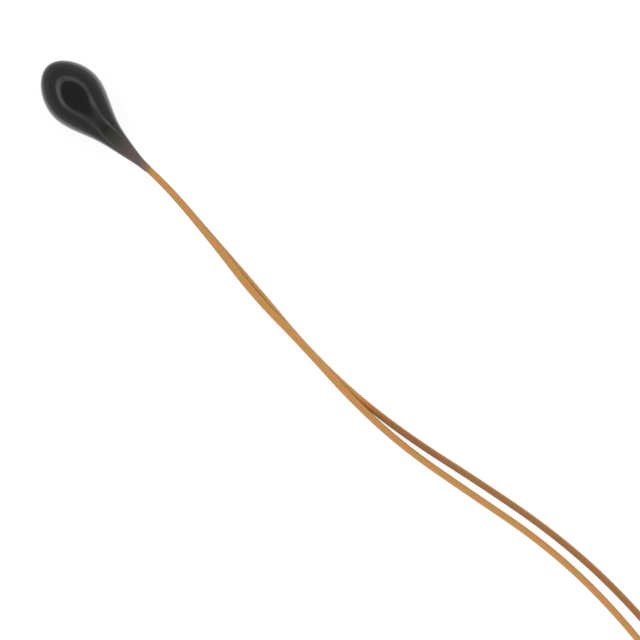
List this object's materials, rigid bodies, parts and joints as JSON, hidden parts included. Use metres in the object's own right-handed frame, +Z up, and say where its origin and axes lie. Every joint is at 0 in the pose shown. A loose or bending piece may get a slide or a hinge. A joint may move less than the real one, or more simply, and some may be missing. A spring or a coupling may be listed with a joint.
{
  "type": "ntc thermistor",
  "caption": "Temperature sensor: a ceramic chip sealed in a glossy black epoxy drop, on thin enamelled copper leads with tinned ends.",
  "frame": {"origin": "centre of the epoxy drop's box, on the surface that the part lies on", "axes": "+X along the drop, from its round head towards the leads; +Z up off the surface"},
  "size_m": [0.0494, 0.0043, 0.0026],
  "materials": {
    "epoxy": "glossy black dip, drawn out to a clear brown film on the leads",
    "chip_ceramic": "matt sintered metal oxide",
    "silver": "fired silver film, satin",
    "solder": "smooth solder, bright",
    "tin": "dipped tin, bright",
    "enamelled_wire": "drawn soft copper under clear amber enamel, glossy"
  },
  "bodies": {
    "root": {"epoxy_coat": "epoxy", "thermistor_chip": "chip_ceramic", "upper_electrode": "silver", "lower_electrode": "silver", "upper_solder": "solder", "lower_solder": "solder", "upper_lead": "enamelled_wire", "lower_lead": "enamelled_wire", "upper_lead_tin": "tin", "lower_lead_tin": "tin"}
  },
  "joints": []
}
